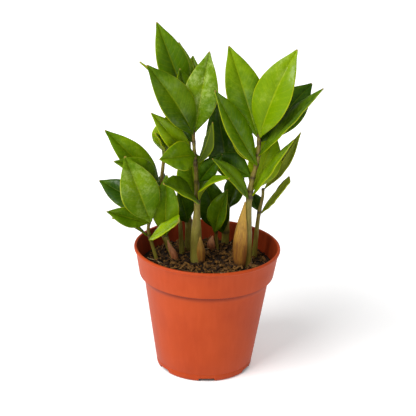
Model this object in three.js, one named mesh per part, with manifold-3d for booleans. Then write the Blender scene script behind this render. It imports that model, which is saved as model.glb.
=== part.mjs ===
// A potted ZZ plant: a thin plastic nursery pot, its soil, nine fleshy stems, the dry sheaths
// at their feet, and one solid for each leaflet.
// Millimetres, +Z up. The origin is the centre of the pot's flat underside.
// Bearings are degrees seen from above: 0 is +X, 90 is +Y (the back), 270 is the front.
import * as THREE from "three";
import { mergeVertices } from "three/addons/utils/BufferGeometryUtils.js";
import Module from "manifold-3d";

const wasm = await Module();
wasm.setup();

// ---- driving dimensions ----
const potHeight = 91.5;
const rimRadius = 52.5; // outside of the lip
const baseRadius = 34.6; // outside, at the foot
const potWall = 1.2;
const potFloor = 1.6;
const lipHeight = 2.4;
const lipOut = 0.7; // how far the lip stands out from the collar
const collarHeight = 20.5; // from the rim down to the collar's lower edge
const collarTaper = 3.4; // how much narrower the collar is at its lower edge
const collarStep = 3.7; // from the collar in to the body
const stepHeight = 4.6;
const slotCount = 6; // drainage slots round the foot
const slotWidth = 11.5;
const slotHeight = 2.2;
const slotDepth = 5;
const slotTurn = 4; // degrees that the slots are turned from the front
const soilDrop = 14; // from the rim down to the soil
const soilDome = 1; // how much higher the soil stands in the middle
const gap = 0.3; // between pieces that touch
const stemScale = 1; // thickness of every stem
const buried = 9; // how deep the stems stand in the soil
const leafThickness = 1;

const potFacets = 72;
const stemFacets = 8;
const bladeFacets = 8; // round a leaflet's section
const bladeRings = 10; // along a leaflet

// ---- colours ----
const finish = (color, roughness) => new THREE.MeshStandardMaterial({ color, roughness, metalness: 0 });
const terracottaPlastic = finish(0xd2613a, 0.5);
const pottingMix = finish(0x3a2716, 0.95);
const greenStem = finish(0x5d6b2b, 0.5);
const drySheath = finish(0x9a6c38, 0.7);
const leafGreen = finish(0x4f8a12, 0.35);

const plant = new THREE.Group();

function addPiece(name, geometry, material) {
  const mesh = new THREE.Mesh(geometry, material);
  mesh.name = name;
  plant.add(mesh);
}

// ---- solids and booleans ----
function toSolid(geometry) {
  const bare = new THREE.BufferGeometry();
  bare.setAttribute("position", geometry.getAttribute("position").clone());
  bare.setIndex(geometry.index);
  const merged = mergeVertices(bare, 1e-3);
  return new wasm.Manifold(
    new wasm.Mesh({
      numProp: 3,
      vertProperties: new Float32Array(merged.attributes.position.array),
      triVerts: new Uint32Array(merged.index.array),
    }),
  );
}

function toGeometry(solid) {
  const mesh = solid.getMesh();
  const geometry = new THREE.BufferGeometry();
  geometry.setAttribute("position", new THREE.BufferAttribute(mesh.vertProperties, 3));
  geometry.setIndex(new THREE.BufferAttribute(mesh.triVerts, 1));
  return geometry;
}

// A lathe round Z from [radius, height] points.
function turned(points, facets) {
  const profile = points.map(([r, z]) => new THREE.Vector2(r, z));
  return new THREE.LatheGeometry(profile, facets).rotateX(Math.PI / 2);
}

// ---- pot ----
const collarBottom = potHeight - collarHeight;
const bodyTop = collarBottom - stepHeight;
const collarTopRadius = rimRadius - lipOut;
const collarRadius = collarTopRadius - collarTaper;
const bodyTopRadius = collarRadius - collarStep;

// The wall's outside radius at a height, without the lip.
function outsideRadius(z) {
  if (z >= collarBottom) {
    return THREE.MathUtils.mapLinear(z, collarBottom, potHeight, collarRadius, collarTopRadius);
  }
  if (z >= bodyTop) {
    return THREE.MathUtils.mapLinear(z, bodyTop, collarBottom, bodyTopRadius, collarRadius);
  }
  return THREE.MathUtils.mapLinear(z, 0, bodyTop, baseRadius, bodyTopRadius);
}
const insideRadius = (z) => outsideRadius(z) - potWall;

function makePot() {
  const lipBottom = potHeight - lipHeight;
  const shell = turned(
    [
      [0, 0],
      [baseRadius, 0],
      [bodyTopRadius, bodyTop],
      [collarRadius, collarBottom],
      [outsideRadius(lipBottom), lipBottom],
      [rimRadius, lipBottom + lipOut],
      [rimRadius, potHeight - lipOut / 2],
      [rimRadius - lipOut / 2, potHeight],
      [insideRadius(potHeight), potHeight],
      [insideRadius(collarBottom), collarBottom],
      [insideRadius(bodyTop), bodyTop],
      [insideRadius(potFloor), potFloor],
      [0, potFloor],
    ],
    potFacets,
  );
  let pot = toSolid(shell);
  for (let i = 0; i < slotCount; i += 1) {
    const slot = new THREE.BoxGeometry(slotDepth * 2, slotWidth, slotHeight * 2);
    slot.translate(baseRadius, 0, 0);
    slot.rotateZ(THREE.MathUtils.degToRad(270 + slotTurn + (360 * i) / slotCount));
    pot = pot.subtract(toSolid(slot));
  }
  return pot;
}

// ---- stems ----
const soilLevel = potHeight - soilDrop;
const soilRadius = insideRadius(soilLevel) - gap;

// A round bar along a curve, radius(share of the length).
function taperedBar(curve, radius, steps) {
  const bar = new THREE.CylinderGeometry(1, 1, 1, stemFacets, steps);
  const place = bar.getAttribute("position");
  for (let i = 0; i < place.count; i += 1) {
    const share = THREE.MathUtils.clamp(place.getY(i) + 0.5, 0, 1);
    const centre = curve.getPointAt(share);
    const along = curve.getTangentAt(share);
    const side = new THREE.Vector3(0, 1, 0).cross(along).normalize();
    const front = along.clone().cross(side);
    const r = radius(share);
    centre.addScaledVector(side, place.getX(i) * r).addScaledVector(front, -place.getZ(i) * r);
    place.setXYZ(i, centre.x, centre.y, centre.z);
  }
  return bar;
}

// A stem's curve: its root on the soil, and its other points as offsets from that root.
function stemCurve(stem) {
  const [share, bearing] = stem.root;
  const turn = THREE.MathUtils.degToRad(bearing);
  const root = new THREE.Vector3(Math.cos(turn), Math.sin(turn), 0);
  root.multiplyScalar(share * soilRadius).setZ(soilLevel);
  const points = [[0, 0, -buried], [0, 0, 0], ...stem.path];
  return new THREE.CatmullRomCurve3(points.map(([x, y, z]) => new THREE.Vector3(x, y, z).add(root)));
}

// The share of a curve's length at a height above the soil.
function shareAtHeight(curve, height) {
  let low = 0;
  let high = 1;
  for (let i = 0; i < 20; i += 1) {
    const middle = (low + high) / 2;
    if (curve.getPointAt(middle).z < soilLevel + height) low = middle;
    else high = middle;
  }
  return low;
}

// Stems are thickest just above the soil and taper up.
function stemRadius(stem, share) {
  const [foot, top] = stem.radius;
  const taper = (1 - share) ** stem.taper;
  return stemScale * (top + (foot - top) * taper);
}

// ---- leaflets ----
function direction([bearing, rise]) {
  const b = THREE.MathUtils.degToRad(bearing);
  const r = THREE.MathUtils.degToRad(rise);
  return new THREE.Vector3(Math.cos(r) * Math.cos(b), Math.cos(r) * Math.sin(b), Math.sin(r));
}

// Half the blade's width as a share of its greatest, from the base at 0 to the tip at 1.
function outline(t) {
  return Math.sin(Math.PI * t ** 0.93);
}

// A leaflet: a lens-shaped section carried along an arc whose chord runs from the stem to the tip.
// to is the chord's direction and look is where the upper face is turned, each [bearing, rise].
// bend bows the blade towards its upper face, cup lifts its two margins, twist turns it end to end.
function makeLeaflet(stem, curve, leaf) {
  const { at, to, look, length, width, bend = 20, cup = 12, twist = 0, from = to[0] } = leaf;
  const chord = direction(to);
  const face = direction(look);
  face.addScaledVector(chord, -face.dot(chord)).normalize();
  const side = chord.clone().cross(face);
  const share = shareAtHeight(curve, at);
  const spring = direction([from, 0]);
  const along = curve.getTangentAt(share);
  spring.addScaledVector(along, -spring.dot(along)).normalize();
  const base = curve.getPointAt(share).addScaledVector(spring, stemRadius(stem, share) + gap);

  const half = THREE.MathUtils.degToRad(bend) / 2;
  const lift = THREE.MathUtils.degToRad(cup);
  const blade = new THREE.SphereGeometry(1, bladeFacets, bladeRings);
  const place = blade.getAttribute("position");
  for (let i = 0; i < place.count; i += 1) {
    const t = Math.acos(THREE.MathUtils.clamp(-place.getY(i), -1, 1)) / Math.PI;
    const ring = Math.max(Math.sin(Math.PI * t), 1e-9);
    const across = (place.getX(i) / ring) * (width / 2) * outline(t);
    const through = (place.getZ(i) / ring) * (leafThickness / 2) * Math.min(1, 3 * outline(t));
    const turn = half * (1 - 2 * t);
    const bow = Math.abs(half) < 1e-3 ? 0 : (Math.cos(turn) - Math.cos(half)) / (2 * Math.sin(half));
    const run = Math.abs(half) < 1e-3 ? t : 0.5 - Math.sin(turn) / (2 * Math.sin(half));
    const spin = THREE.MathUtils.degToRad(twist) * (t - 0.5);
    const sideways = side.clone().applyAxisAngle(chord, spin);
    const upwards = face.clone().applyAxisAngle(chord, spin);
    const raised = through + Math.abs(across) * Math.tan(lift);
    const point = base
      .clone()
      .addScaledVector(chord, length * run)
      .addScaledVector(face, length * bow)
      .addScaledVector(sideways, across)
      .addScaledVector(upwards, raised * Math.cos(turn))
      .addScaledVector(chord, -raised * Math.sin(turn));
    place.setXYZ(i, point.x, point.y, point.z);
  }
  return blade;
}

// Each stem's root is [share of the soil's radius, bearing]. Its path and its leaflets' heights are
// measured from there, in millimetres, and its radius is [at the foot, at the top].
const stems = [
  {
    name: "tall_left",
    root: [0.15, 172],
    path: [[-1, 0, 18], [-1, -1, 46], [-2, -1, 66], [-4, -1, 86], [-5, -1, 100]],
    radius: [4, 1.1],
    taper: 1.6,
    leaflets: [
      { at: 99, to: [325, 80], look: [262, 5], length: 59, width: 24, bend: 16, from: 20 },
      { at: 98, to: [202, 56], look: [292, 20], length: 61, width: 25, bend: 44, from: 240 },
      { at: 78, to: [215, 48], look: [290, 26], length: 53, width: 16, bend: 0, from: 165 },
      { at: 91, to: [142, 20], look: [270, 60], length: 25, width: 14, from: 150 },
      { at: 82, to: [229, 8], look: [308, 24], length: 36, width: 21, bend: 28, from: 262 },
      { at: 50, to: [150, 80], look: [285, 4], length: 35, width: 25, bend: -16, from: 108 },
      { at: 47, to: [231, 32], look: [320, 60], length: 45, width: 25, from: 290 },
      { at: 75, to: [296, 60], look: [26, 6], length: 42, width: 12, from: 350 },
      { at: 49, to: [310, 38], look: [190, 60], length: 41, width: 13, bend: 50 },
      { at: 62, to: [350, 54], look: [262, 30], length: 27, width: 13, from: 345 },
    ],
  },
  {
    name: "tall_back",
    root: [0.56, 122],
    path: [[0, -1, 20], [-1, -3, 56], [-1, -5, 86], [-3, -7, 118]],
    radius: [2.8, 1.1],
    taper: 1.2,
    leaflets: [
      { at: 117, to: [196, 69], look: [276, 25], length: 60, width: 22, bend: 18 },
      { at: 114, to: [116, 70], look: [262, 28], length: 43, width: 18 },
      { at: 110, to: [82, 63], look: [270, 26], length: 38, width: 17 },
      { at: 107, to: [194, 48], look: [12, 42], length: 52, width: 9, bend: 12, from: 265 },
      { at: 103, to: [240, 73], look: [290, 20], length: 41, width: 20, from: 250 },
      { at: 24, to: [237, 66], look: [300, 20], length: 32, width: 17, from: 250 },
    ],
  },
  {
    name: "tall_right",
    root: [0.6, 352],
    path: [[0, 1, 24], [0, 2, 48], [1, 2, 62], [5, 2, 82], [5, 2, 99]],
    radius: [3.6, 1.3],
    taper: 1.3,
    leaflets: [
      { at: 98, to: [165, 70], look: [276, 22], length: 65, width: 26, bend: 26, from: 170 },
      { at: 98, to: [357, 70], look: [248, 26], length: 66, width: 28, bend: 40, from: 300 },
      { at: 77, to: [211, 58], look: [318, 10], length: 68, width: 21, bend: -6, from: 265 },
      { at: 93, to: [36, 39], look: [260, 20], length: 57, width: 26, from: 60 },
      { at: 84, to: [342, 51], look: [200, 36], length: 68, width: 18, bend: 4, from: 290 },
      { at: 57, to: [52, 54], look: [280, 10], length: 44, width: 24, from: 60 },
      { at: 54, to: [341, 58], look: [195, 30], length: 53, width: 12, bend: -6, from: 330 },
      { at: 52, to: [210, 48], look: [300, 45], length: 45, width: 13, bend: 34, from: 240 },
      { at: 67, to: [148, 16], look: [290, 30], length: 32, width: 19, bend: 30, from: 190 },
      { at: 77, to: [146, 48], look: [110, -10], length: 31, width: 12 },
    ],
  },
  {
    name: "left_front",
    root: [0.76, 177],
    path: [[-4, -2, 16], [-6, -5, 26], [-4, -8, 36], [-1, -9, 44]],
    radius: [1.5, 1],
    taper: 1,
    leaflets: [
      { at: 34, to: [203, 69], look: [280, 22], length: 54, width: 28, bend: 20, from: 280 },
      { at: 32, to: [214, 24], look: [290, 25], length: 37, width: 14, bend: -8, from: 235 },
      { at: 21, to: [201, 32], look: [20, 58], length: 31, width: 11, from: 200 },
      { at: 18, to: [305, 35], look: [225, 50], length: 47, width: 13, bend: 0, from: 250 },
      { at: 40, to: [156, 21], look: [270, 40], length: 45, width: 20, from: 150 },
    ],
  },
  {
    name: "left_leaning",
    root: [0.49, 170],
    path: [[-7, 1, 16], [-11, 4, 33], [-11, 7, 55], [-10, 9, 69], [-9, 10, 80]],
    radius: [2.7, 1.1],
    taper: 1,
    leaflets: [
      { at: 53, to: [189, 48], look: [288, 24], length: 58, width: 20, bend: 36, from: 150 },
      { at: 54, to: [211, 33], look: [285, 46], length: 44, width: 19, bend: 54, from: 240 },
      { at: 19, to: [275, 79], look: [265, 5], length: 50, width: 20, bend: 16, from: 290 },
      { at: 24, to: [95, 63], look: [260, 20], length: 40, width: 20, from: 80 },
      { at: 78, to: [274, 62], look: [258, 20], length: 38, width: 20, from: 330 },
      { at: 74, to: [262, 42], look: [8, 14], length: 42, width: 10, from: 240 },
    ],
  },
  {
    name: "right_thin",
    root: [0.78, 22],
    path: [[1, -1, 24], [2, -2, 36], [4, -2, 48], [4, -2, 54]],
    radius: [2.2, 1],
    taper: 1,
    leaflets: [
      { at: 54, to: [342, 62], look: [40, -15], length: 51, width: 11, bend: 12, from: 20 },
      { at: 36, to: [338, 57], look: [10, -25], length: 36, width: 11, bend: -8, from: 340 },
      { at: 36, to: [103, 24], look: [260, 40], length: 18, width: 10 },
    ],
  },
  {
    name: "back_right",
    root: [0.86, 71],
    path: [[0, -1, 15], [1, -3, 38], [2, -4, 53], [5, -6, 71], [7, -7, 82]],
    radius: [2.6, 1.1],
    taper: 1,
    leaflets: [
      { at: 52, to: [226, 76], look: [280, 0], length: 68, width: 26, from: 220 },
      { at: 31, to: [308, 66], look: [250, 20], length: 39, width: 16, from: 300 },
      { at: 74, to: [69, 74], look: [250, 10], length: 36, width: 20 },
      { at: 10, to: [213, 68], look: [265, 5], length: 56, width: 24, from: 220 },
    ],
  },
  {
    name: "short_middle",
    root: [0.55, 74],
    path: [[-1, -1, 9], [-1, -3, 17]],
    radius: [1.7, 1.2],
    taper: 1,
    leaflets: [{ at: 16, to: [322, 74], look: [240, 15], length: 37, width: 16, from: 230 }],
  },
  {
    name: "inner_left",
    root: [0.5, 140],
    path: [[-1, 0, 14], [-2, -1, 28], [-3, -2, 40]],
    radius: [2.1, 1.2],
    taper: 1,
    leaflets: [],
  },
];

// Dry sheaths: each hugs a stem from the side it looks to, and narrows to a point at its top.
const sheaths = [
  { name: "right_sheath", on: "tall_right", side: 195, out: 5.5, height: 49, radius: 5.2 },
  { name: "middle_sheath", on: "tall_left", side: 325, out: 4, height: 24, radius: 3.2 },
  { name: "small_sheath", on: "short_middle", side: 200, out: 5, height: 12, radius: 2.6 },
  { name: "left_sheath", on: "left_leaning", side: 300, out: 3, height: 16, radius: 2.4 },
];

const curves = new Map(stems.map((stem) => [stem.name, stemCurve(stem)]));

function stemBar(stem, extra = 0) {
  const steps = 3 + 2 * stem.path.length;
  return taperedBar(curves.get(stem.name), (share) => stemRadius(stem, share) + extra, steps);
}

// ---- sheaths ----
function makeSheath({ on, side, out, height, radius }) {
  const stem = stems.find(({ name }) => name === on);
  const curve = curves.get(on);
  const base = soilDome + gap;
  const points = [0, 0.25, 0.5, 0.75, 1].map((rise) => {
    const point = curve.getPointAt(shareAtHeight(curve, base + rise * (height - base)));
    return point.addScaledVector(direction([side, 0]), out * (1 - rise ** 2 / 2));
  });
  const axis = new THREE.CatmullRomCurve3(points);
  const belly = (share) => radius * (0.2 + 0.8 * Math.sin(Math.PI * (0.28 + 0.72 * share)) ** 0.8);
  return toSolid(taperedBar(axis, belly, 8)).subtract(toSolid(stemBar(stem, gap)));
}

// ---- soil ----
function makeSoil() {
  const bottom = potFloor + gap;
  let soil = toSolid(
    turned(
      [
        [0, bottom],
        [insideRadius(bottom) - gap, bottom],
        [insideRadius(bodyTop) - gap, bodyTop - gap],
        [soilRadius, Math.max(soilLevel, bodyTop)],
        [soilRadius * 0.5, soilLevel + soilDome / 2],
        [0, soilLevel + soilDome],
      ],
      potFacets / 2,
    ),
  );
  for (const stem of stems) soil = soil.subtract(toSolid(stemBar(stem, gap)));
  return soil;
}

addPiece("pot", toGeometry(makePot()), terracottaPlastic);
addPiece("soil", toGeometry(makeSoil()), pottingMix);
for (const stem of stems) {
  addPiece(`${stem.name}_stem`, stemBar(stem), greenStem);
  stem.leaflets.forEach((leaf, i) => {
    addPiece(`${stem.name}_leaflet_${i + 1}`, makeLeaflet(stem, curves.get(stem.name), leaf), leafGreen);
  });
}

for (const sheath of sheaths) addPiece(sheath.name, toGeometry(makeSheath(sheath)), drySheath);

export default plant;
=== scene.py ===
import math
import random

import bmesh
import bpy
import numpy as np
from mathutils import Matrix, Vector


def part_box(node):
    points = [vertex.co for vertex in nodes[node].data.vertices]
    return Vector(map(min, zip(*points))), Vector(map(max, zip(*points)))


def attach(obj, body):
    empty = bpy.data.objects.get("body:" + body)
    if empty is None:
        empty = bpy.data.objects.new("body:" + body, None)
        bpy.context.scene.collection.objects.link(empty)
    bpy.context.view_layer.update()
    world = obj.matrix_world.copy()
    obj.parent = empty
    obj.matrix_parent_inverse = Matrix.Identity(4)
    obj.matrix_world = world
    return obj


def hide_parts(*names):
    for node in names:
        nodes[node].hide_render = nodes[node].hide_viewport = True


# A young potted ZZ plant: nursery pot, crumbly mix, fleshy stems, papery sheaths, glossy leaflets.
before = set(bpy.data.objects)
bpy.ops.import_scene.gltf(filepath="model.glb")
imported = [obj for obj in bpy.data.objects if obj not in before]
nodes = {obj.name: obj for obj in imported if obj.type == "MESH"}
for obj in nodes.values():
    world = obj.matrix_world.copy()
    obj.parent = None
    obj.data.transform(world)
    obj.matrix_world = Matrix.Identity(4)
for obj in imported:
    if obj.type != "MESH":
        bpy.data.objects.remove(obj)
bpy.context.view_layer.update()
scene = bpy.context.scene
print("frame loaded:", len(nodes), "nodes")


# small helpers, for working as by hand
def deselectAll():
    if bpy.context.object and bpy.context.object.mode != "OBJECT":
        bpy.ops.object.mode_set(mode="OBJECT")
    bpy.ops.object.select_all(action="DESELECT")


def activate(piece):
    deselectAll()
    piece.select_set(True)
    bpy.context.view_layer.objects.active = piece


def openEdit(piece):
    activate(piece)
    bpy.ops.object.mode_set(mode="EDIT")
    bpy.ops.mesh.select_mode(type="VERT")
    bpy.ops.mesh.select_all(action="DESELECT")


def pick(test):
    # in edit mode: selects the vertices whose place passes the test
    data = bpy.context.object.data
    mesh = bmesh.from_edit_mesh(data)
    for vertex in mesh.verts:
        vertex.select = test(vertex.co)
    mesh.select_flush_mode()
    bmesh.update_edit_mesh(data)


def nameNew(name):
    piece = bpy.context.object
    piece.name = name
    piece.data.name = name
    return piece


def applyAll(piece):
    activate(piece)
    for modifier in list(piece.modifiers):
        bpy.ops.object.modifier_apply(modifier=modifier.name)
    bpy.ops.object.transform_apply(location=True, rotation=True, scale=True)


def twin(piece, name):
    copy = piece.copy()
    copy.data = piece.data.copy()
    copy.name = name
    copy.data.name = name
    scene.collection.objects.link(copy)
    return copy


def joinAll(pieces, name):
    activate(pieces[0])
    for piece in pieces:
        piece.select_set(True)
    bpy.ops.object.join()
    bpy.ops.object.transform_apply(location=True, rotation=True, scale=True)
    return nameNew(name)


def place(piece, slot, *cadNodes):
    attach(piece, "root")
    if cadNodes:
        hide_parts(*cadNodes)


def growRings(last, rings):
    # in edit mode: draws the selected face up and in or out, ring by ring, each a radius and a height
    for radius, z in rings:
        bpy.ops.mesh.extrude_region_move(TRANSFORM_OT_translate={"value": (0, 0, z - last[1])})
        bpy.ops.transform.resize(value=(radius / last[0], radius / last[0], 1), center_override=(0, 0, z))
        last = (radius, z)


def camel(node):
    first, *rest = node.split("_")
    return first + "".join(word.capitalize() for word in rest)


def smooth(low, high, x):
    t = min(max((x - low) / (high - low), 0), 1)
    return t * t * (3 - 2 * t)


# shader helpers
def hue(red, green, blue):
    # display values 0 to 255, to the linear colour a shader takes
    shares = [value / 255 for value in (red, green, blue)]
    linear = [((share + 0.055) / 1.055) ** 2.4 if share > 0.04 else share / 12.92 for share in shares]
    return (*linear, 1)


def grey(value):
    return (value, value, value, 1)


class Wire:
    # a socket's output that can be used in plain sums
    def __init__(self, finish, socket):
        self.finish = finish
        self.socket = socket

    def maths(self, operation, *others):
        return self.finish.node("Math", {"operation": operation}, dict(enumerate((self, *others))))

    def __add__(self, other):
        return self.maths("ADD", other)

    def __sub__(self, other):
        return self.maths("SUBTRACT", other)

    def __mul__(self, other):
        return self.maths("MULTIPLY", other)

    def __rsub__(self, other):
        return self.finish.node("Math", {"operation": "SUBTRACT"}, {0: other, 1: self})

    __radd__ = __add__
    __rmul__ = __mul__

    def size(self):
        return self.maths("ABSOLUTE")

    def ramp(self, low, high):
        # 0 below low, 1 above high, eased between
        settings = {"interpolation_type": "SMOOTHSTEP"}
        return self.finish.node("MapRange", settings, {"Value": self, "From Min": low, "From Max": high})


class Finish:
    # a material, its shader's own constants, and what varies over the surface
    def __init__(self, name, **constants):
        self.material = bpy.data.materials.new(name)
        self.material.use_nodes = True
        self.tree = self.material.node_tree
        self.shader = self.tree.nodes["Principled BSDF"]
        for socket, value in constants.items():
            self.shader.inputs[socket].default_value = value

    def node(self, kind, settings=None, values=None, output=0):
        made = self.tree.nodes.new("ShaderNode" + kind)
        for key, value in (settings or {}).items():
            setattr(made, key, value)
        for key, value in (values or {}).items():
            if isinstance(value, Wire):
                self.tree.links.new(value.socket, made.inputs[key])
            else:
                made.inputs[key].default_value = value
        return Wire(self, made.outputs[output])

    def noise(self, where, scale, detail=3.0, roughness=0.55):
        values = {"Vector": where, "Scale": scale, "Detail": detail, "Roughness": roughness}
        return self.node("TexNoise", {}, values)

    def objectPlace(self):
        return self.node("TexCoord", {}, {}, "Object")

    def stretched(self, where, scale):
        return self.node("Mapping", {}, {"Vector": where, "Scale": scale})

    def attribute(self, name):
        return self.node("Attribute", {"attribute_name": name}, {}, "Fac")

    def mix(self, factor, first, second):
        # sockets 6 and 7 are the two colours, output 2 is the mixed one
        return self.node("Mix", {"data_type": "RGBA"}, {0: factor, 6: first, 7: second}, 2)

    def feed(self, **wires):
        for socket, wire in wires.items():
            self.tree.links.new(wire.socket, self.shader.inputs[socket.replace("_", " ")])
        return self.material

    def bump(self, height, strength, distance):
        values = {"Height": height, "Strength": strength, "Distance": distance}
        self.tree.links.new(self.node("Bump", {}, values).socket, self.shader.inputs["Normal"])


# camera, light and floor
studio = {
    "target": (-0.00028, 0, 0.11981),
    "distance": 0.9,
    "down": 20.47,  # degrees the camera looks down
    "roll": 1.725,
    "lens": 109.7,
    "world": 0.42,
    # place, size, watts
    "keyLight": ((-0.85, -0.75, 1.2), 1.1, 30),
    "fillLight": ((0.9, -0.9, 0.5), 0.8, 0.8),
    "floorSize": 8,
    "floorDrop": 0.0004,
    "floorPaper": (0.9, 0.93),
    # glow near the pot and far away, where it changes, and where it starts outside the foot
    "floorGlow": (0.3, 0.75),
    "glowReach": (0.12, 0.6),
    "footShade": (0.032, 0.036),
}


def makeStudio():
    down = math.radians(studio["down"])
    target = Vector(studio["target"])
    back = Vector((0, -math.cos(down), math.sin(down)))
    turn = Matrix.Rotation(math.pi / 2 - down, 4, "X") @ Matrix.Rotation(math.radians(studio["roll"]), 4, "Z")
    bpy.ops.object.camera_add(location=target + back * studio["distance"], rotation=turn.to_euler())
    camera = nameNew("camera")
    camera.data.lens = studio["lens"]
    camera.data.sensor_width = 36
    camera.data.clip_start = 0.01
    camera.data.dof.use_dof = False
    scene.camera = camera

    world = bpy.data.worlds.new("studioWorld")
    world.use_nodes = True
    backdrop = world.node_tree.nodes["Background"]
    backdrop.inputs["Color"].default_value = (1, 1, 1, 1)
    backdrop.inputs["Strength"].default_value = studio["world"]
    scene.world = world
    scene.view_settings.view_transform = "Standard"

    for name in ("keyLight", "fillLight"):
        spot, size, watts = studio[name]
        facing = (Vector(spot) - target).to_track_quat("Z", "Y").to_euler()
        bpy.ops.object.light_add(type="AREA", location=spot, rotation=facing)
        light = nameNew(name)
        light.data.size = size
        light.data.energy = watts

    bpy.ops.mesh.primitive_plane_add(size=studio["floorSize"], location=(0, 0, -studio["floorDrop"]))
    floor = nameNew("studioFloor")
    bpy.ops.object.transform_apply(location=True, rotation=True, scale=True)
    paper = Finish("floorPaper", Roughness=0.9)
    grain = paper.noise(paper.objectPlace(), 6.0, 2.0)
    dull, pale = studio["floorPaper"]
    paper.feed(Base_Color=paper.mix(grain, grey(dull), grey(pale)))
    # a light table: its glow is weaker round the pot
    away = paper.node("VectorMath", {"operation": "LENGTH"}, {0: paper.objectPlace()}, 1)
    near, far = studio["floorGlow"]
    glow = paper.mix(away.ramp(*studio["glowReach"]), grey(near), grey(far))
    glow = paper.mix(away.ramp(*studio["footShade"]), grey(0), glow)
    paper.feed(Emission_Color=glow)
    paper.shader.inputs["Emission Strength"].default_value = 1
    floor.data.materials.append(paper.material)


makeStudio()
print("studio made")


# reading the CAD solids
def welded(node):
    # points and neighbours of a merged copy of a CAD mesh
    mesh = bmesh.new()
    mesh.from_mesh(nodes[node].data)
    bmesh.ops.remove_doubles(mesh, verts=mesh.verts, dist=3e-6)  # loose triangles share no corners
    mesh.verts.ensure_lookup_table()
    points = [vertex.co.copy() for vertex in mesh.verts]
    near = [[edge.other_vert(vertex).index for edge in vertex.link_edges] for vertex in mesh.verts]
    mesh.free()
    return points, near


def ringsFrom(start, near):
    # the rings of vertices met on walking away from a pole
    seen = {start}
    ring = [start]
    rings = [ring]
    while ring:
        ring = sorted({other for index in ring for other in near[index]} - seen)
        seen.update(ring)
        if ring:
            rings.append(ring)
    return rings


def poles(points, near):
    # the two ends, where all eight sides of a solid meet
    ends = [i for i in range(len(points)) if len(near[i]) == 8]
    pairs = [(a, b) for a in ends for b in ends if a < b]
    if not pairs:
        pairs = [(a, b) for a in range(len(points)) for b in range(a)]
    return max(pairs, key=lambda pair: (points[pair[0]] - points[pair[1]]).length)


def middle(places):
    return sum(places, Vector()) / len(places)


def readStem(node):
    # centre and radius of each ring, from the root up
    points, near = welded(node)
    foot = min(poles(points, near), key=lambda i: points[i].z)
    line = []
    for ring in ringsFrom(foot, near)[1:-1]:
        centre = middle([points[i] for i in ring])
        line.append((centre, sum((points[i] - centre).length for i in ring) / len(ring)))
    return line


def nearestOn(line, point):
    # nearest place on a stem's axis, and its share of the rings
    best = None
    for k in range(len(line) - 1):
        a, b = line[k][0], line[k + 1][0]
        t = min(max((point - a).dot(b - a) / (b - a).length_squared, 0), 1)
        spot = a.lerp(b, t)
        away = (point - spot).length
        if best is None or away < best[0]:
            best = (away, spot, k + t)
    return best


def readLeaflet(node, line):
    # base, tip, and at each tenth of the length the centre, the half width and the lift of the margins
    points, near = welded(node)
    base, tip = sorted(poles(points, near), key=lambda i: nearestOn(line, points[i])[0])
    tenths = []
    for ring in ringsFrom(base, near)[1:-1]:
        places = [points[i] for i in ring]
        a, b = max(((p, q) for p in places for q in places), key=lambda pair: (pair[0] - pair[1]).length)
        half = (b - a) / 2
        rest = sorted((p for p in places if p not in (a, b)), key=lambda p: abs((p - (a + b) / 2).dot(half)))
        centre = (rest[0] + rest[1]) / 2
        tenths.append([centre, half, (a + b) / 2 - centre])
    for k, (centre, half, lift) in enumerate(tenths):
        if k and half.dot(tenths[k - 1][1]) < 0:
            tenths[k][1] = -half
    # the upper face is the side the margins are lifted to
    up = sum((lift for _, _, lift in tenths[2:7]), Vector())
    across = tenths[4][1]
    run = tenths[5][0] - tenths[3][0]
    if across.cross(run).dot(up) < 0:
        for tenth in tenths:
            tenth[1] = -tenth[1]
    return points[base], points[tip], tenths


stemLines = {name[:-5]: readStem(name) for name in nodes if name.endswith("_stem")}
leafletNodes = sorted(name for name in nodes if "_leaflet_" in name)
print("read", len(stemLines), "stems and", len(leafletNodes), "leaflets")


# leaflets
blade = {
    "length": 0.06,
    "halfWidth": 0.013,
    "thickness": 0.0009,
    "stalk": 0.075,  # the stalk's share of the half width
    "below": 0.1,  # share of the length that the stalk reaches below the base
    "columns": 12,
    "rows": 44,
    "pillow": 0.0011,
    "groove": 0.0006,
    "grooveReach": 0.2,  # share of the half width
    "flatten": 0.15,  # height that a narrow row keeps
    "tip": 0.93,  # under 1 moves the widest place towards the base
    "bluntFrom": 0.6,  # where a blunt blade stops narrowing
    "blunt": 0.95,
    "cage": (3, 12, 2),  # lattice points across, along and through
    "cageDepth": 0.02,
    "wave": 0.0005,
    "rootDrop": 0.0006,  # how far below its base a leaflet joins the stem's axis
}


def outline(t):
    # share of the half width on a plain pointed oval
    return math.sin(math.pi * t ** blade["tip"]) if 0 < t < 1 else 0


def bladeWidth(t):
    # share of the half width at a share of the length, with the stalk below the base
    stalk = blade["stalk"] * (1 + 0.5 * smooth(-0.02, -blade["below"], t)) * (1 - smooth(0.0, 0.06, t))
    return max(outline(t) * (1 - 0.1 * smooth(0.8, 1, t)), stalk, 0.002)


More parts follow.
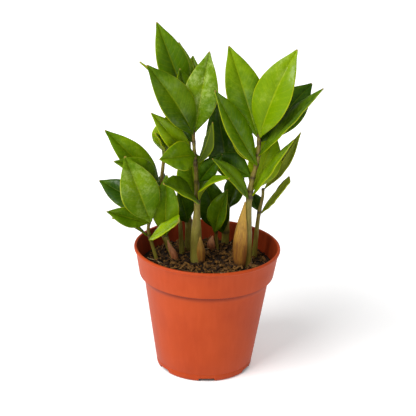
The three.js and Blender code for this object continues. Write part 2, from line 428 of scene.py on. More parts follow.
def makeBlade(name, blunt=0.0):
    # grows from a flat grid: columns lifted into two pillows and a groove, rows drawn in to the outline
    length, half = blade["length"], blade["halfWidth"]
    below, pillow, groove = blade["below"], blade["pillow"], blade["groove"]
    bpy.ops.mesh.primitive_grid_add(x_subdivisions=blade["columns"], y_subdivisions=blade["rows"], size=1)
    piece = nameNew(name)
    bpy.ops.object.mode_set(mode="EDIT")
    bpy.ops.mesh.select_all(action="SELECT")
    bpy.ops.transform.resize(value=(2 * half, (1 + below) * length, 1))
    bpy.ops.transform.translate(value=(0, (1 - below) / 2 * length, 0))
    for column in range(blade["columns"] + 1):
        x = (2 * column / blade["columns"] - 1) * half
        off = abs(x) / half
        rise = pillow * math.sin(math.pi * min(off * 1.02, 1)) ** 0.8
        rise -= groove * (1 - smooth(0, blade["grooveReach"], off))
        pick(lambda co: abs(co.x - x) < 1e-5)
        bpy.ops.transform.translate(value=(0, 0, rise))
    for row in range(blade["rows"] + 1):
        t = -below + (1 + below) * row / blade["rows"]
        y = t * length
        share = bladeWidth(t)
        if blunt and t > blade["bluntFrom"]:
            share = max(share, blunt * bladeWidth(blade["bluntFrom"]) * (1 - smooth(0.95, 1.0, t)))
        pick(lambda co: abs(co.y - y) < 1e-5)
        height = min(1, blade["flatten"] + share)
        bpy.ops.transform.resize(value=(share, 1, height), center_override=(0, y, 0))
    bpy.ops.mesh.select_all(action="SELECT")
    bpy.ops.mesh.normals_make_consistent(inside=False)
    bpy.ops.object.mode_set(mode="OBJECT")
    if piece.data.polygons[0].normal.z < 0:
        piece.data.flip_normals()
    skin = piece.modifiers.new("skin", "SOLIDIFY")
    skin.thickness = blade["thickness"]
    skin.offset = 0
    skin.material_offset = 1
    rounding = piece.modifiers.new("round", "SUBSURF")
    rounding.levels = rounding.render_levels = 1
    piece.data.materials.append(None)
    piece.data.materials.append(None)
    applyAll(piece)
    bpy.ops.object.shade_smooth()
    return piece


# tone by leaflet, partly each leaflet's own colour and partly painted light and shade: bright leaflets carry painted
# light, full and deep ones painted shade where they sit in shadow; what isn't named is mature
tones = {
    "bright": (
        "tall_right_leaflet_2",
        "tall_right_leaflet_6",
        "left_front_leaflet_4",
        "left_leaning_leaflet_5",
        "tall_left_leaflet_3",
        "tall_back_leaflet_3",
    ),
    "full": (
        "tall_left_leaflet_2",
        "tall_left_leaflet_7",
        "tall_right_leaflet_5",
        "tall_right_leaflet_8",
    ),
    "deep": (
        "tall_back_leaflet_6",
        "tall_left_leaflet_4",
        "tall_left_leaflet_8",
        "tall_left_leaflet_10",
        "back_right_leaflet_1",
        "back_right_leaflet_2",
        "back_right_leaflet_3",
        "back_right_leaflet_4",
        "left_leaning_leaflet_4",
        "left_front_leaflet_3",
        "left_front_leaflet_5",
        "tall_right_leaflet_4",
        "tall_right_leaflet_9",
        "right_thin_leaflet_3",
    ),
}
leafletTone = {node: tone for tone, members in tones.items() for node in members}

# colours by tone; the bright, full and deep sets hold painted light and shade as well as the leaf's own colour
leafColors = {
    "bright": {
        "light": hue(132, 156, 0),
        "dark": hue(98, 128, 0),
        "edge": hue(184, 188, 20),
        "under": hue(124, 136, 40),
    },
    "mature": {
        "light": hue(108, 136, 0),
        "dark": hue(68, 100, 0),
        "edge": hue(172, 174, 12),
        "under": hue(118, 130, 34),
    },
    "full": {
        "light": hue(88, 116, 0),
        "dark": hue(54, 82, 0),
        "edge": hue(160, 166, 10),
        "under": hue(100, 114, 30),
    },
    "deep": {
        "light": hue(64, 94, 0),
        "dark": hue(30, 60, 0),
        "edge": hue(126, 138, 8),
        "under": hue(74, 88, 26),
    },
}
dryTip = hue(150, 120, 60)
# pale colour of the painted highlight on the leaf tops
paleSheenColor = hue(186, 200, 128)


def leafCoordinates(finish):
    # share of the length, and how far off the midrib: 0 on it, 1 at the margin
    where = finish.node("UVMap", {"uv_map": "UVMap"})
    across = finish.node("SeparateXYZ", {}, {0: where}, "X")
    along = finish.node("SeparateXYZ", {}, {0: where}, "Y")
    return along, (across - 0.5).size() * 2


def makeLeafTop(tone):
    color = leafColors[tone]
    wax = {"Coat Roughness": 0.22, "Coat IOR": 1.35, "Specular IOR Level": 0.07}
    top = Finish("leafTop" + tone.capitalize(), **wax)
    along, off = leafCoordinates(top)
    here = top.objectPlace()
    clouds = top.noise(here, 38.0, 3.0)
    flecks = top.noise(here, 420.0, 3.0, 0.7)
    # side veins leave the midrib and sweep towards the tip
    phase = (along - off * 0.16) * 15 + top.noise(here, 60.0, 1.0) * 0.6
    ridge = (phase * math.tau).maths("SINE") * 0.5 + 0.5
    vein = ridge.ramp(0.8, 1.0) * (1 - off.ramp(0.75, 0.95)) * off.ramp(0.04, 0.15)
    rib = 1 - off.ramp(0.015, 0.07)
    margin = off.ramp(0.91, 0.98)
    body = top.mix((clouds + flecks * 0.35 - 0.2).ramp(0.3, 0.75), color["dark"], color["light"])
    body = top.mix(vein * 0.05, body, color["edge"])
    body = top.mix(rib * (0.3 - along * 0.2), body, color["edge"])
    body = top.mix((1 - along.ramp(0.0, 0.14)) * 0.5, body, color["edge"])
    body = top.mix(margin * 0.55, body, color["edge"])
    body = top.mix(along.ramp(0.965, 0.995) * 0.8, body, dryTip)
    # painted highlight: a pale sheen in broken patches, standing for the leaf's glossy reflection of the key light
    bloom = (top.noise(here, 90.0, 3.0, 0.6) * 0.55 + flecks * 0.45).ramp(0.45, 0.62) * top.attribute("bloom")
    body = top.mix(bloom * clouds.ramp(0.38, 0.62) * 0.36, body, paleSheenColor)
    # the wax shines in mottled patches
    shine = (top.noise(here, 62.0, 4.0, 0.65) * 0.7 + flecks * 0.3).ramp(0.5, 0.62)
    top.feed(Base_Color=body, Roughness=0.34 + clouds * 0.14 + flecks * 0.08, Coat_Weight=0.03 + shine * 0.6)
    height = vein * -0.2 + rib * -0.8 + flecks * 0.5 + top.noise(here, 150.0, 2.0) * 0.9
    top.bump(height, 0.45, 0.0006)
    return top.material


def makeLeafUnder(tone):
    color = leafColors[tone]
    under = Finish("leafUnder" + tone.capitalize(), **{"Specular IOR Level": 0.07})
    along, off = leafCoordinates(under)
    here = under.objectPlace()
    clouds = under.noise(here, 45.0, 3.0)
    flecks = under.noise(here, 500.0, 2.0, 0.6)
    rib = 1 - off.ramp(0.02, 0.09)
    margin = off.ramp(0.86, 0.98)
    body = under.mix(clouds.ramp(0.3, 0.7), color["under"], color["dark"])
    body = under.mix(0.45 + flecks * 0.3, body, color["under"])
    body = under.mix(rib * 0.6, body, color["edge"])
    body = under.mix(margin * 0.7, body, color["edge"])
    under.feed(Base_Color=body, Roughness=0.5 + clouds * 0.15)
    under.bump(rib * 0.8 + flecks * 0.5, 0.4, 0.0005)
    return under.material


leafletLook = {
    # how far a blade folds along its midrib, in degrees
    "usualFold": 13,
    "folds": {"short_middle_leaflet_1": 26, "left_front_leaflet_4": 18, "tall_right_leaflet_7": 20},
    # how much painted highlight, a pale sheen, a leaflet carries
    "usualBloom": 0.05,
    "blooms": {"tall_left_leaflet_1": 1, "tall_right_leaflet_2": 0.45, "left_front_leaflet_1": 0.55},
    "bluntTips": ("left_front_leaflet_4", "right_thin_leaflet_2"),
}


def makeCage():
    bpy.ops.object.add(type="LATTICE", location=(0, 0, 0))
    cage = nameNew("bladeCage")
    cage.data.points_u, cage.data.points_v, cage.data.points_w = blade["cage"]
    cage.data.interpolation_type_u = "KEY_LINEAR"
    cage.data.interpolation_type_v = "KEY_CATMULL_ROM"
    cage.data.interpolation_type_w = "KEY_LINEAR"
    # the cage at rest spans the blade from just below its base to its tip
    cage.scale = (2 * blade["halfWidth"], (1 + blade["below"]) * blade["length"], blade["cageDepth"])
    cage.location = (0, (1 - blade["below"]) / 2 * blade["length"], 0)
    bpy.context.view_layer.update()
    return cage


def shapeCage(cage, node, line):
    # sets the cage's points from the CAD solid, so the blade follows it from stem to tip
    dice = random.Random(node)
    base, tip, tenths = readLeaflet(node, line)
    _, root, _ = nearestOn(line, base - Vector((0, 0, blade["rootDrop"])))
    fold = math.tan(math.radians(leafletLook["folds"].get(node, leafletLook["usualFold"])))
    widest = max(half.length / outline((k + 1) / 10) for k, (_, half, _) in enumerate(tenths) if 1 <= k <= 7)
    centres = [root, base] + [centre for centre, _, _ in tenths] + [tip]
    sides = [half.normalized() for _, half, _ in tenths]
    sides = [sides[0]] * 2 + sides + [sides[-1]]
    inverse = cage.matrix_world.inverted()
    points = cage.data.points
    columns, rows, layers = blade["cage"]
    ripple = [dice.uniform(-1, 1) for _ in range(2 * rows)]
    for row in range(rows):
        run = (centres[min(row + 1, rows - 1)] - centres[max(row - 1, 0)]).normalized()
        side = (sides[row] - run * sides[row].dot(run)).normalized()
        up = side.cross(run).normalized()
        opening = smooth(0, 4, row) * fold  # flat at the stalk, open from the fourth row
        for column in range(columns):
            # the midrib stays put, the two margins wave on their own
            wave = blade["wave"] * ripple[row + rows * (column > 1)] * smooth(1, 4, row) if column != 1 else 0
            reach = widest * (column - 1)
            for layer in range(layers):
                spot = centres[row] + side * reach + up * (abs(reach) * opening + wave)
                spot += up * blade["cageDepth"] / 2 * (1 if layer else -1)
                points[column + columns * (row + rows * layer)].co_deform = inverse @ spot
    bpy.context.view_layer.update()


def makeLeaflets():
    tops = {tone: makeLeafTop(tone) for tone in leafColors}
    unders = {tone: makeLeafUnder(tone) for tone in leafColors}
    master = makeBlade("masterBlade")
    bluntMaster = makeBlade("bluntBlade", blade["blunt"])
    cage = makeCage()
    for node in leafletNodes:
        stem = node.split("_leaflet_")[0]
        shapeCage(cage, node, stemLines[stem])
        leaflet = twin(bluntMaster if node in leafletLook["bluntTips"] else master, camel(node))
        bend = leaflet.modifiers.new("bend", "LATTICE")
        bend.object = cage
        activate(leaflet)
        bpy.ops.object.modifier_apply(modifier="bend")
        tone = leafletTone.get(node, "mature")
        amount = leafletLook["blooms"].get(node, leafletLook["usualBloom"])
        # each leaflet's share of painted highlight, kept on its points
        bloom = leaflet.data.attributes.new("bloom", "FLOAT", "POINT")
        bloom.data.foreach_set("value", [amount] * len(leaflet.data.vertices))
        leaflet.data.materials[0] = tops[tone]
        leaflet.data.materials[1] = unders[tone]
        place(leaflet, "leaflet", node)
    for spare in (master, bluntMaster, cage):
        bpy.data.objects.remove(spare)


makeLeaflets()
print("leaflets made:", len(leafletNodes))


# stems
stemLook = {
    "facets": 4,  # bevel resolution
    "samples": 64,
    "swell": 0.22,  # extra radius at a node
    "swellReach": 0.0022,
    "ringReach": 0.0013,  # half height of the dark ring at a node
    "stout": {"tall_left": 0.36, "tall_right": 0.12, "back_right": 0.15},  # extra girth low down
    "stoutEnds": (0.3, 0.5),  # shares of the height where that girth fades out
}


def smoothLine(line, samples):
    # centres and radii evenly resampled along a smooth curve through the rings
    places = np.array([list(centre) + [radius] for centre, radius in line])
    padded = np.vstack([2 * places[0] - places[1], places, 2 * places[-1] - places[-2]])
    result = []
    for sample in range(samples + 1):
        x = sample / samples * (len(places) - 1)
        k = min(int(x), len(places) - 2)
        t = x - k
        a, b, c, d = padded[k : k + 4]
        bend, twist = 2 * a - 5 * b + 4 * c - d, 3 * b - a - 3 * c + d
        result.append(0.5 * (2 * b + (c - a) * t + bend * t * t + twist * t**3))
    return [(Vector(p[:3]), float(p[3])) for p in result]


def makeStemSkin():
    skin = Finish("fleshyStem", **{"Specular IOR Level": 0.4})
    here = skin.objectPlace()
    share = skin.attribute("share")
    ring = skin.attribute("nodeRing")
    long = skin.stretched(here, (1, 1, 0.35))
    blotch = skin.noise(long, 330.0, 4.0, 0.65)
    fine = skin.noise(long, 1400.0, 3.0, 0.7)
    body = skin.mix(share.ramp(0.1, 0.75), hue(132, 124, 38), hue(116, 102, 28))
    body = skin.mix(fine.ramp(0.35, 0.7) * 0.5, body, hue(150, 142, 66))
    body = skin.mix(blotch.ramp(0.46, 0.64) * (0.15 + share * 0.55), body, hue(88, 50, 20))
    body = skin.mix(ring * 0.9, body, hue(42, 24, 14))
    body = skin.mix((1 - share.ramp(0.04, 0.16)) * 0.7, body, hue(86, 74, 34))
    skin.feed(Base_Color=body, Roughness=0.38 + blotch * 0.25)
    skin.bump(blotch * 0.6 + fine * 0.4 - ring * 0.6, 0.5, 0.0005)
    return skin.material


def makeStems():
    skin = makeStemSkin()
    for name, line in stemLines.items():
        knots = []
        for node in leafletNodes:
            if node.startswith(name + "_leaflet_"):
                base = readLeaflet(node, line)[0]
                knots.append(nearestOn(line, base)[1])
        path = smoothLine(line, stemLook["samples"])
        bpy.ops.curve.primitive_bezier_curve_add(location=(0, 0, 0))
        piece = nameNew(camel(name) + "Stem")
        curve = piece.data
        curve.splines.clear()
        spline = curve.splines.new("POLY")
        spline.points.add(len(path) - 1)
        for point, (centre, radius) in zip(spline.points, path):
            closest = min([(centre - knot).length for knot in knots] or [1])
            swell = 1 + stemLook["swell"] * math.exp(-((closest / stemLook["swellReach"]) ** 2))
            low = (centre.z - path[0][0].z) / (path[-1][0].z - path[0][0].z)
            swell += stemLook["stout"].get(name, 0) * (1 - smooth(*stemLook["stoutEnds"], low))
            point.co = (*centre, 1)
            point.radius = radius * swell
        curve.dimensions = "3D"
        curve.bevel_depth = 1
        curve.bevel_resolution = stemLook["facets"]
        curve.use_fill_caps = True
        activate(piece)
        bpy.ops.object.convert(target="MESH")
        piece = bpy.context.object
        openEdit(piece)
        bpy.ops.mesh.select_all(action="SELECT")
        bpy.ops.mesh.remove_doubles(threshold=1e-6)
        bpy.ops.mesh.normals_make_consistent(inside=False)
        bpy.ops.object.mode_set(mode="OBJECT")
        bpy.ops.object.shade_smooth()
        shares = piece.data.attributes.new("share", "FLOAT", "POINT")
        rings = piece.data.attributes.new("nodeRing", "FLOAT", "POINT")
        for vertex in piece.data.vertices:
            shares.data[vertex.index].value = nearestOn(path, vertex.co)[2] / (len(path) - 1)
            closest = min([abs(vertex.co.z - knot.z) for knot in knots] or [1])
            rings.data[vertex.index].value = math.exp(-((closest / stemLook["ringReach"]) ** 2))
        piece.data.materials.clear()
        piece.data.materials.append(skin)
        place(piece, "stem", name + "_stem")


makeStems()
print("stems made")


# dry sheaths
sheathLook = {
    "thickness": 0.00045,
    "sides": 20,
    "rings": 16,
    "wrap": 250,  # degrees round the stem
    "foot": 0.28,  # how far up its belly curve a sheath starts
    "tip": 0.06,  # share of the girth left at the tip
    "leastGirth": 0.0004,
    "leanIn": 0.35,  # how much it closes on the stem at the tip
    "band": 7,  # a ring's middle is read from one such part of the height
    "widest": 4,  # the ring whose side and reach set the others
}
# the stem each one wraps, its girth as a share of its reach, and its paper
sheaths = {
    "right_sheath": {"stem": "tall_right", "girth": 0.62, "paper": "tan"},
    "middle_sheath": {"stem": "tall_left", "girth": 0.46, "paper": "tan"},
    "small_sheath": {"stem": "short_middle", "girth": 0.46, "paper": "pink"},
    "left_sheath": {"stem": "left_leaning", "girth": 0.5, "paper": "pink"},
}


def makePaper(name, pale, tan, brown):
    paper = Finish(name, **{"Specular IOR Level": 0.35})
    here = paper.objectPlace()
    rise = paper.attribute("rise")
    streaks = paper.noise(paper.stretched(here, (1, 1, 0.06)), 900.0, 3.0, 0.65)
    clouds = paper.noise(here, 160.0, 3.0, 0.6)
    body = paper.mix(streaks.ramp(0.35, 0.68), tan, brown)
    body = paper.mix(clouds.ramp(0.5, 0.7) * 0.45, body, brown)
    body = paper.mix(rise.ramp(0.3, 1.0) * 0.7, body, pale)
    # browner low down, and dark where it meets the mix
    body = paper.mix((1 - rise.ramp(0.1, 0.5)) * 0.35, body, hue(122, 62, 22))
    body = paper.mix((1 - rise.ramp(0.0, 0.14)) * 0.85, body, hue(48, 22, 10))
    paper.feed(Base_Color=body, Roughness=0.5 + streaks * 0.25)
    paper.bump(streaks * 0.9 + clouds * 0.5, 0.6, 0.0005)
    return paper.material


def makeSheath(node, paper):
    points, _ = welded(node)
    low = min(p.z for p in points)
    high = max(p.z for p in points)
    line = stemLines[sheaths[node]["stem"]]
    count = sheathLook["rings"]
    rows = []
    for k in range(count + 1):
        z = low + (high - low) * k / count
        band = [p for p in points if abs(p.z - z) < (high - low) / sheathLook["band"]]
        heart = middle(band)
        _, axis, _ = nearestOn(line, heart)
        rows.append((z, heart, axis))
    sides = sheathLook["sides"]
    bpy.ops.mesh.primitive_circle_add(vertices=sides, radius=1, fill_type="NOTHING", location=(0, 0, 0))
    piece = nameNew(camel(node))
    wideZ, wideHeart, wideAxis = rows[sheathLook["widest"]]
    away = (wideHeart - wideAxis).xy
    turn = math.atan2(away.y, away.x)
    openEdit(piece)
    # the side that faces the stem is left open
    gapHalf = math.radians(180 - sheathLook["wrap"] / 2)
    pick(lambda co: abs((math.atan2(co.y, co.x) - turn) % (2 * math.pi) - math.pi) < gapHalf)
    bpy.ops.mesh.delete(type="VERT")
    bpy.ops.mesh.select_all(action="SELECT")
    reach = max((p - nearestOn(line, p)[1]).xy.length for p in points if abs(p.z - wideZ) < 0.004)
    radius = reach * sheaths[node]["girth"]
    foot, tip = sheathLook["foot"], sheathLook["tip"]
    out = Vector((math.cos(turn), math.sin(turn), 0))
    last = (Vector((0, 0, 0)), 1.0)
    for k, (z, _, axis) in enumerate(rows):
        share = k / count
        belly = tip + (1 - tip) * max(math.sin(math.pi * (foot + (1 - foot) * share)), 0) ** 1.25
        size = max(radius * belly, sheathLook["leastGirth"])
        centre = Vector((axis.x, axis.y, z)) + out * (reach - radius) * (1 - sheathLook["leanIn"] * share**2)
        if k:
            bpy.ops.mesh.extrude_region_move(TRANSFORM_OT_translate={"value": centre - last[0]})
        else:
            bpy.ops.transform.translate(value=centre)
        bpy.ops.transform.resize(value=[size / last[1]] * 2 + [1], center_override=centre)
        last = (centre, size)
    bpy.ops.mesh.select_all(action="SELECT")
    bpy.ops.mesh.normals_make_consistent(inside=False)
    bpy.ops.object.mode_set(mode="OBJECT")
    shell = piece.modifiers.new("shell", "SOLIDIFY")
    shell.thickness = sheathLook["thickness"]
    shell.offset = 0
    rounding = piece.modifiers.new("round", "SUBSURF")
    rounding.levels = rounding.render_levels = 1
    applyAll(piece)
    bpy.ops.object.shade_smooth()
    rises = piece.data.attributes.new("rise", "FLOAT", "POINT")
    for vertex in piece.data.vertices:
        rises.data[vertex.index].value = (vertex.co.z - low) / (high - low)
    piece.data.materials.append(paper)
    place(piece, "dry_sheath", node)


def makeSheaths():
    papers = {
        "tan": makePaper("drySheathTan", hue(194, 158, 66), hue(164, 118, 38), hue(108, 64, 20)),
        "pink": makePaper("drySheathPink", hue(222, 158, 112), hue(186, 116, 72), hue(122, 66, 36)),
    }
    for node, look in sheaths.items():
        makeSheath(node, papers[look["paper"]])


makeSheaths()
print("sheaths made")


# pot
pot = {
    "height": 0.0915,
    "rim": 0.0525,
    "base": 0.0346,
    "wall": 0.0012,
    "floor": 0.0016,
    "lipHeight": 0.0024,
    "lipOut": 0.0007,
    "collar": 0.0205,
    "collarTaper": 0.0034,
    "collarStep": 0.0037,
    "step": 0.0046,
    "slots": 6,
    "slotSize": (0.010, 0.0115, 0.0044),
    "slotSoften": 0.0007,
    "slotTurn": 4,  # degrees the first slot is turned from the front
    "sides": 144,
    # heights between which the painted shade band under the collar fades in and out
    "shadeFrom": (0.0655, 0.0704),
    "shadeTo": (0.0706, 0.0714),
    # painted shade on the pot's inner wall: how dark it is, and how far under the lip it starts
    "insideShade": 0.55,
    "insideFrom": 0.0009,  # the inner shade starts this far under the lip
    "sharpAngle": 38,
}


def makePotPlastic(name, shade):
    plastic = Finish(name, **{"Specular IOR Level": 0.18})
    here = plastic.objectPlace()
    clouds = plastic.noise(here, 30.0, 3.0)
    grain = plastic.noise(here, 1500.0, 2.0, 0.6)
    drag = plastic.noise(plastic.stretched(here, (1, 1, 0.08)), 260.0, 3.0, 0.6)
    scuff = plastic.noise(plastic.stretched(here, (1, 1, 4)), 120.0, 4.0, 0.7)
    body = plastic.mix(clouds.ramp(0.3, 0.7), hue(162, 57, 12), hue(172, 64, 16))
    # painted shade: the inner wall's copy of the plastic is darkened by its shade share
    body = plastic.mix(shade, body, hue(84, 20, 4))
    body = plastic.mix(drag.ramp(0.4, 0.75) * 0.25, body, hue(186, 74, 32))
    body = plastic.mix(scuff.ramp(0.62, 0.8) * 0.2, body, hue(196, 94, 54))
    # painted shade under the collar's bottom edge
    height = plastic.node("SeparateXYZ", {}, {0: here}, 2)
    under = height.ramp(*pot["shadeFrom"]) * (1 - height.ramp(*pot["shadeTo"]))
    body = plastic.mix(under * 0.8, body, hue(104, 28, 6))
    plastic.feed(Base_Color=body, Roughness=0.42 + grain * 0.12 + clouds * 0.08)
    plastic.bump(grain * 0.6 + drag * 0.3, 0.25, 0.0003)
    return plastic.material


def makePot():
    p = pot
    top = p["height"]
    collarBottom = top - p["collar"]
    bodyTop = collarBottom - p["step"]
    collarTop = p["rim"] - p["lipOut"]
    collarFoot = collarTop - p["collarTaper"]
    bodyRim = collarFoot - p["collarStep"]
    lipBottom = top - p["lipHeight"]
    wall = p["wall"]

    def bodyAt(z):
        return p["base"] + (bodyRim - p["base"]) * z / bodyTop

    def collarAt(z):
        return collarFoot + (collarTop - collarFoot) * (z - collarBottom) / p["collar"]

    # from the foot up the outside, over the lip, and down the inside: radius and height
    profile = [
        (p["base"] - 0.0006, 0.0),
        (p["base"] - 0.0001, 0.0004),
        (bodyAt(0.0012), 0.0012),
        (bodyAt(0.0042), 0.0042),
        (bodyAt(0.0048) - 0.00025, 0.0048),
        (bodyAt(0.0054), 0.0054),
        (bodyAt(0.02), 0.02),
        (bodyAt(0.04), 0.04),
        (bodyAt(bodyTop - 0.0012), bodyTop - 0.0012),
        (bodyRim + 0.0002, bodyTop),
        (bodyRim + 0.0008, bodyTop + 0.0014),
        (bodyRim + 0.0016, collarBottom - 0.0012),
        (collarFoot - 0.0007, collarBottom - 0.0004),
        (collarFoot - 0.0002, collarBottom - 0.0002),
        (collarAt(collarBottom + 0.0006), collarBottom + 0.0006),
        (collarAt(top - 0.011), top - 0.011),
        (collarAt(lipBottom - 0.0006), lipBottom - 0.0006),
        (collarAt(lipBottom) + 0.0002, lipBottom),
        (p["rim"] - 0.0001, lipBottom + 0.0006),
        (p["rim"], lipBottom + 0.0011),
        (p["rim"] - 0.0001, top - 0.0005),
        (p["rim"] - 0.0005, top - 0.0001),
        (p["rim"] - 0.0011, top),
        (collarTop - wall + 0.0001, top - 0.0002),
        (collarTop - wall - 0.0001, top - 0.0008),
        (collarAt(top - 0.01) - wall, top - 0.01),
        (collarFoot - wall, collarBottom),
        (bodyRim - wall, bodyTop),
        (bodyAt(0.03) - wall, 0.03),
        (bodyAt(p["floor"]) - wall, p["floor"]),
    ]
    start = profile[0]
    bpy.ops.mesh.primitive_circle_add(vertices=p["sides"], radius=start[0], fill_type="NGON", location=(0, 0, start[1]))
    piece = nameNew("nurseryPot")
    openEdit(piece)
    bpy.ops.mesh.select_all(action="SELECT")
    growRings(start, profile[1:])
    bpy.ops.mesh.select_all(action="SELECT")
    bpy.ops.mesh.normals_make_consistent(inside=False)
    bpy.ops.object.mode_set(mode="OBJECT")

    cutters = []
    for k in range(p["slots"]):
        angle = math.radians(270 + p["slotTurn"] + 360 * k / p["slots"])
        spot = (math.cos(angle) * p["base"], math.sin(angle) * p["base"], 0)
        bpy.ops.mesh.primitive_cube_add(size=1, location=spot, rotation=(0, 0, angle))
        cutter = nameNew("slotCutter")
        cutter.scale = p["slotSize"]
        bpy.ops.object.transform_apply(location=True, rotation=True, scale=True)
        soften = cutter.modifiers.new("soften", "BEVEL")
        soften.width = p["slotSoften"]
        soften.segments = 3
        applyAll(cutter)
        cutters.append(cutter)
    cutter = joinAll(cutters, "slotCutters")
    cut = piece.modifiers.new("slots", "BOOLEAN")
    cut.operation = "DIFFERENCE"
    cut.solver = "EXACT"
    cut.object = cutter
    applyAll(piece)
    bpy.data.objects.remove(cutter)
    activate(piece)
    bpy.ops.object.shade_smooth_by_angle(angle=math.radians(p["sharpAngle"]))
    piece.data.materials.append(makePotPlastic("terracottaPlastic", 0.0))
    piece.data.materials.append(makePotPlastic("terracottaInside", p["insideShade"]))
    for face in piece.data.polygons:
        # the wall's inner side, from the floor to just under the lip, takes the copy with painted shade
        inward = face.normal.xy.dot(face.center.xy) < 0 and face.center.z > p["floor"]
        face.material_index = 1 if inward and face.center.z < top - p["insideFrom"] else 0
    place(piece, "pot_plastic", "pot")


makePot()
print("pot made")


# potting mix
mix = {
    "seed": 7,
    "top": 0.0775,
    "dome": 0.001,
    "radius": 0.0478,
    "shoulder": 0.0664,
    "footGap": 0.0014,  # from the pot's foot radius to the bed's
    "crumbEdge": 0.0022,  # bare rim where no lump lies
    "strandEdge": 0.004,
    "strandLift": (0.001, 0.0024),
    "lumpLean": 0.5,
    "strandLean": 0.25,
    # grain size and height of the rough surface
    "clods": (0.009, 0.0026),
    "grit": (0.003, 0.0013),
}
# lumps: how they are stretched, how many, their sizes, how high they lie, and two colours
lumps = {
    "darkCrumbs": ((1, 1, 0.8), 480, (0.001, 0.003), (-0.0004, 0.0012), hue(20, 12, 5), hue(70, 44, 20)),
    "brownCrumbs": ((1.1, 0.9, 0.7), 460, (0.0007, 0.0024), (0.0002, 0.0018), hue(60, 38, 12), hue(150, 104, 42)),
    "barkChips": ((1.6, 1, 0.5), 110, (0.0011, 0.0028), (0.0006, 0.0018), hue(70, 46, 18), hue(156, 112, 54)),
}
# strands: how many, their lengths, and two colours
strands = {
    "coirFibres": (150, (0.004, 0.010), hue(70, 44, 20), hue(150, 108, 58)),
    "rootStrands": (6, (0.006, 0.012), hue(150, 128, 92), hue(206, 186, 146)),
}


def makeMixFinish(name, dark, light, scale):
    finish = Finish(name, **{"Specular IOR Level": 0.25})
    here = finish.objectPlace()
    coarse = finish.noise(here, scale, 4.0, 0.7)
    fine = finish.noise(here, scale * 6, 3.0, 0.7)
    body = finish.mix((coarse * 0.6 + fine * 0.4).ramp(0.38, 0.66), dark, light)
    finish.feed(Base_Color=body, Roughness=0.8 + fine * 0.15)
    finish.bump(coarse * 0.6 + fine * 0.5, 0.8, 0.0008)
    return finish.material


def mixTop(x, y):
    r = math.hypot(x, y) / mix["radius"]
    return mix["top"] + mix["dome"] * (1 - r * r)


def makeBed():
    # the bed is a disc drawn up from the pot's floor, its top roughened
    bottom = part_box("soil")[0].z
    low = pot["base"] - mix["footGap"]
    bpy.ops.mesh.primitive_circle_add(vertices=96, radius=low, fill_type="NGON", location=(0, 0, bottom))
    bed = nameNew("pottingMix")
    openEdit(bed)
    bpy.ops.mesh.select_all(action="SELECT")
    edge = mix["radius"]
    # up inside the pot's wall to the bed's edge, then inwards over the top
    rows = [(0.0424, mix["shoulder"] - 0.0003), (0.0462, 0.0712), (edge, mix["top"] - 0.0008)]
    inner = [edge * (1 - 0.045 * k) for k in range(1, 22)]
    growRings((low, bottom), rows + [(radius, mixTop(radius, 0)) for radius in inner])
    bpy.ops.mesh.poke()
    bpy.ops.mesh.select_all(action="SELECT")
    bpy.ops.mesh.normals_make_consistent(inside=False)
    bpy.ops.object.mode_set(mode="OBJECT")
    group = bed.vertex_groups.new(name="surface")
    high = [vertex for vertex in bed.data.vertices if vertex.co.z > mix["top"] - 0.0005]
    group.add([vertex.index for vertex in high if vertex.co.xy.length < edge * 0.97], 1, "REPLACE")
    for label in ("clods", "grit"):
        scale, depth = mix[label]
        cloud = bpy.data.textures.new(label, "CLOUDS")
        cloud.noise_scale = scale
        rough = bed.modifiers.new(label, "DISPLACE")
        rough.texture = cloud
        rough.vertex_group = "surface"
        rough.direction = "Z"
        rough.mid_level = 0.55
        rough.strength = depth
    applyAll(bed)
    bpy.ops.object.shade_smooth()
    bed.data.materials.append(makeMixFinish("darkMix", hue(20, 12, 6), hue(62, 40, 20), 700.0))
    place(bed, "potting_mix", "soil")


def scatter(master, name, count, spread, lift, lean, dice, radius):
    # copies thrown over the bed with their own size, lean and turn, then joined
    thrown = []
    while len(thrown) < count:
        x, y = (dice.uniform(-1, 1) * radius for _ in range(2))
        if math.hypot(x, y) > radius:
            continue
        chip = twin(master, name)
        size = dice.uniform(*spread)
        pitch, roll, turn = dice.gauss(0, lean), dice.gauss(0, lean), dice.uniform(0, 6.28)
        chip.matrix_world = Matrix.LocRotScale(
            Vector((x, y, mixTop(x, y) + dice.uniform(*lift))),
            Matrix.Rotation(turn, 3, "Z") @ Matrix.Rotation(pitch, 3, "X") @ Matrix.Rotation(roll, 3, "Y"),
            Vector((size, size * dice.uniform(0.6, 1.1), size * dice.uniform(0.6, 1))),
        )
        thrown.append(chip)
    bpy.data.objects.remove(master)
    return joinAll(thrown, name)


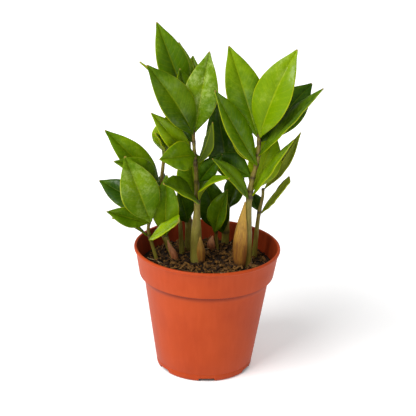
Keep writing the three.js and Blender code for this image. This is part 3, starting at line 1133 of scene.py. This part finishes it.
def makeLump(name, stretch, seed):
    # a knobbly lump from a cube: subdivided, rounded and shaken
    bpy.ops.mesh.primitive_cube_add(size=1, location=(0, 0, 0))
    lump = nameNew(name)
    openEdit(lump)
    bpy.ops.mesh.select_all(action="SELECT")
    bpy.ops.mesh.subdivide(number_cuts=1)
    bpy.ops.transform.tosphere(value=0.6)
    bpy.ops.transform.vertex_random(offset=0.14, seed=seed)
    bpy.ops.transform.resize(value=stretch)
    bpy.ops.object.mode_set(mode="OBJECT")
    return lump


def makeFibre(dice):
    # a thin bent strand about 1 long: a four-sided tube
    bpy.ops.mesh.primitive_circle_add(vertices=4, radius=0.035, fill_type="NGON", rotation=(0, math.pi / 2, 0))
    strand = nameNew("fibre")
    bpy.ops.object.transform_apply(location=True, rotation=True, scale=True)
    openEdit(strand)
    bpy.ops.mesh.select_all(action="SELECT")
    for _ in range(5):
        step = (0.22, dice.uniform(-0.09, 0.09), dice.uniform(-0.05, 0.07))
        bpy.ops.mesh.extrude_region_move(TRANSFORM_OT_translate={"value": step})
    bpy.ops.mesh.select_all(action="SELECT")
    bpy.ops.mesh.normals_make_consistent(inside=False)
    bpy.ops.transform.translate(value=(-0.55, 0, 0))
    bpy.ops.object.mode_set(mode="OBJECT")
    return strand


def makeMix():
    dice = random.Random(mix["seed"])
    makeBed()
    edge = mix["radius"] - mix["crumbEdge"]
    for seed, (name, look) in enumerate(lumps.items(), 3):
        stretch, count, spread, lift, dark, light = look
        lump = makeLump(name, stretch, seed)
        bits = scatter(lump, name, count, spread, lift, mix["lumpLean"], dice, edge)
        activate(bits)
        bpy.ops.object.shade_smooth_by_angle(angle=math.radians(50))
        bits.data.materials.append(makeMixFinish(name, dark, light, 900.0))
        place(bits, "potting_mix")
    for name, (count, spread, dark, light) in strands.items():
        strand = makeFibre(dice)
        reach = edge - mix["strandEdge"]
        bits = scatter(strand, name, count, spread, mix["strandLift"], mix["strandLean"], dice, reach)
        bits.data.materials.append(makeMixFinish(name, dark, light, 900.0))
        place(bits, "potting_mix")


makeMix()
print("potting mix made")

bpy.context.view_layer.update()
